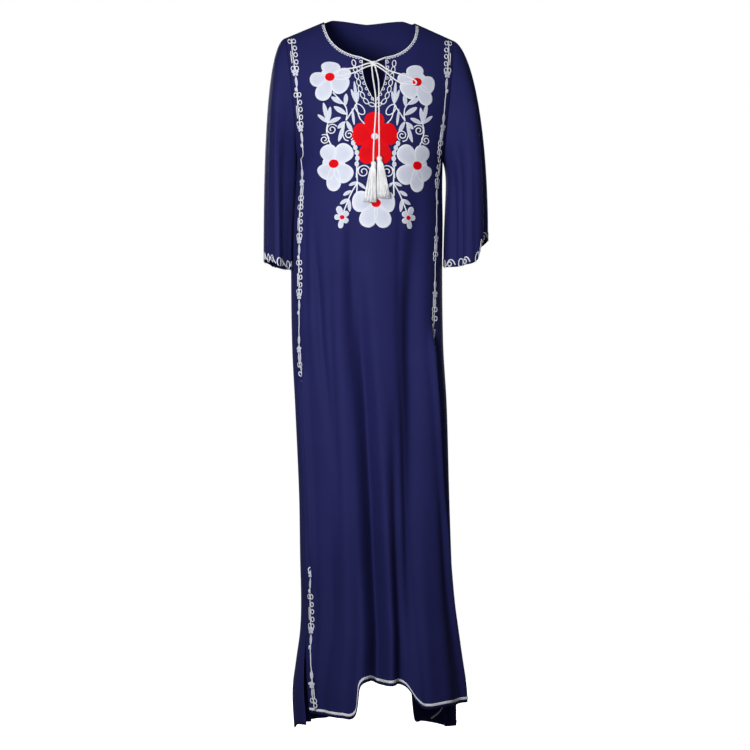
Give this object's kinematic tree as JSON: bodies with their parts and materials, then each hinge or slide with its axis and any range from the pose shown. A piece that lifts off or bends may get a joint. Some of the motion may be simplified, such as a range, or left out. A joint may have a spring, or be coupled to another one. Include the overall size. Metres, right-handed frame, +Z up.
{
  "type": "embroidered kaftan dress",
  "caption": "Long hollow kaftan dress with half sleeves, an embroidered yoke, side slits and a tasselled tie at the slit neck.",
  "frame": {"origin": "midway between the shoulders at the height of the neck points, where the wearer's shoulders hold the dress", "axes": "+Z up, towards the neck; the front faces -Y; +X is to the right of someone who looks at the front"},
  "size_m": [0.451, 0.2587, 1.4251],
  "materials": {
    "navy_cloth": "plain woven viscose, softly draped, with a faint sheen",
    "white_embroidery": "raised white machine embroidery and braid",
    "red_embroidery": "raised red satin stitch",
    "white_cord": "twisted white cotton cord",
    "white_tassel": "loose white cotton strands under a bound head"
  },
  "bodies": {
    "root": {"front_panel": "navy_cloth", "back_panel": "navy_cloth", "sleeve_left": "navy_cloth", "sleeve_right": "navy_cloth", "front_hem_braid": "white_embroidery", "back_hem_braid": "white_embroidery", "tie_neck_left": "white_cord", "tie_neck_right": "white_cord", "tie_loop_left": "white_cord", "tie_loop_right": "white_cord", "tie_end_left": "white_cord", "tie_end_right": "white_cord", "tie_knot": "white_cord", "tassel_left": "white_tassel", "tassel_right": "white_tassel"}
  },
  "joints": []
}
